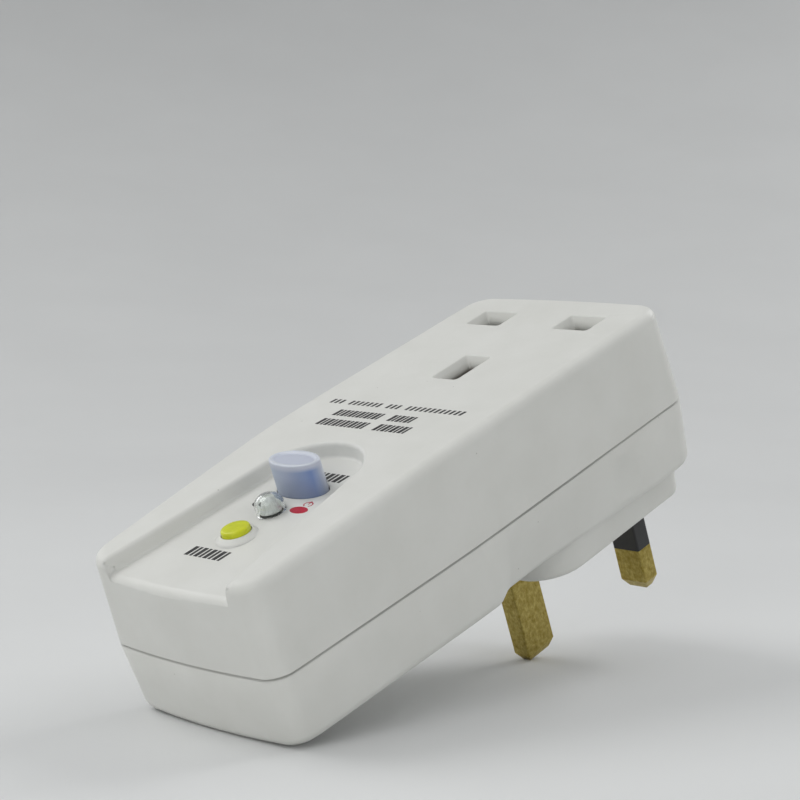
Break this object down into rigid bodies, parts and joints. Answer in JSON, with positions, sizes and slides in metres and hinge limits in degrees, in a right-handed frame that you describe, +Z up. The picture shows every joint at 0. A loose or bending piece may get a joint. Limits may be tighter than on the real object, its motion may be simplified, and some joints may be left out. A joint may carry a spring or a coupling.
{
  "type": "plug-through residual-current adaptor",
  "caption": "Plug-through safety adaptor: rectangular-pin plug below, shuttered socket on top, oval reset button, dome lens and round test button in a sunken well, tipped at rest.",
  "frame": {"origin": "centre of the bounding box at its base, on the table the part is tipped on", "axes": "+Z up; +Y towards the socket end, along the tipped body; +X across the width, towards the live pin. The socket face looks up and back towards -Y, 21.6 degrees from +Z"},
  "size_m": [0.048, 0.1148, 0.0704],
  "materials": {
    "ivory_abs": "satin off-white moulded ABS",
    "brass": "satin, drawn",
    "copper": "plain copper alloy, pressed",
    "steel": "zinc plated",
    "black_nylon": "moulded black nylon",
    "grey_nylon": "moulded light grey nylon",
    "blue_polycarbonate": "milky translucent light blue",
    "yellow_abs": "fluorescent yellow",
    "clear_polycarbonate": "clear moulded dome",
    "red_lamp": "red diffusing lamp body",
    "green_laminate": "glass-fibre board",
    "ferrite": "dark sintered ring",
    "tan_ceramic": "ceramic body",
    "blue_epoxy": "dipped epoxy"
  },
  "bodies": {
    "housing": {"back_cover": "ivory_abs", "case_screw_1": "steel", "case_screw_2": "steel", "case_screw_3": "steel", "circuit_board": "green_laminate", "coil_bobbin": "black_nylon", "coil_winding": "copper", "control_chip": "black_nylon", "dropper_resistor": "tan_ceramic", "earth_contact": "copper", "earth_pin": "brass", "earth_strap": "copper", "filter_capacitor": "black_nylon", "front_cover": "ivory_abs", "indicator_lamp": "red_lamp", "indicator_lens": "clear_polycarbonate", "latch_bracket": "steel", "latch_pin": "steel", "live_contact": "copper", "live_feed_bar": "copper", "live_fixed_contact": "copper", "live_load_bar": "copper", "live_pin": "brass", "live_sleeve": "black_nylon", "neutral_contact": "copper", "neutral_feed_bar": "copper", "neutral_fixed_contact": "copper", "neutral_load_bar": "copper", "neutral_pin": "brass", "neutral_sleeve": "black_nylon", "rectifier": "black_nylon", "reset_guide": "grey_nylon", "reset_spring": "steel", "rocker_bracket": "steel", "rocker_pin": "steel", "sense_toroid": "ferrite", "shutter_spring": "steel", "socket_carrier": "grey_nylon", "solenoid_yoke": "steel", "surge_disc": "blue_epoxy", "test_contact_strip": "copper", "test_spring": "steel"},
    "reset_key": {"reset_button": "blue_polycarbonate"},
    "test_key": {"test_button": "yellow_abs"},
    "shutter_plate": {"shutter": "grey_nylon"},
    "plunger": {"trip_plunger": "steel"},
    "latch": {"latch_lever": "steel"},
    "rocker": {"contact_rocker": "grey_nylon", "live_moving_contact": "copper", "neutral_moving_contact": "copper"}
  },
  "joints": [
    {"name": "reset_press", "type": "slide", "parent": "housing", "child": "reset_key", "axis": [0, 0.3682, -0.9298], "range_m": [0, 0.0024], "stiffness_N_per_m": 900, "deforming": ["reset_spring"]},
    {"name": "rocker_hinge", "type": "hinge", "parent": "housing", "child": "rocker", "pos_m": [0, -0.00685, 0.03055], "axis": [1, 0, 0], "range_deg": [0, 9]},
    {"name": "test_press", "type": "slide", "parent": "housing", "child": "test_key", "axis": [0, 0.3682, -0.9298], "range_m": [0, 0.0008], "stiffness_N_per_m": 900, "deforming": ["test_spring"]},
    {"name": "shutter_slide", "type": "slide", "parent": "housing", "child": "shutter_plate", "axis": [0, 0.9298, 0.3682], "range_m": [0, 0.0052], "stiffness_N_per_m": 200, "deforming": ["shutter_spring"]},
    {"name": "plunger_slide", "type": "slide", "parent": "housing", "child": "plunger", "axis": [0, -0.9298, -0.3682], "range_m": [0, 0.001], "stiffness_N_per_m": 300},
    {"name": "latch_hinge", "type": "hinge", "parent": "housing", "child": "latch", "pos_m": [0, -0.02722, 0.01625], "axis": [1, 0, 0], "range_deg": [0, 15]}
  ],
  "couplings": [
    {"joint": "rocker_hinge", "follows": "reset_press", "rad_per_m": 65},
    {"joint": "latch_hinge", "follows": "plunger_slide", "rad_per_m": 256}
  ]
}
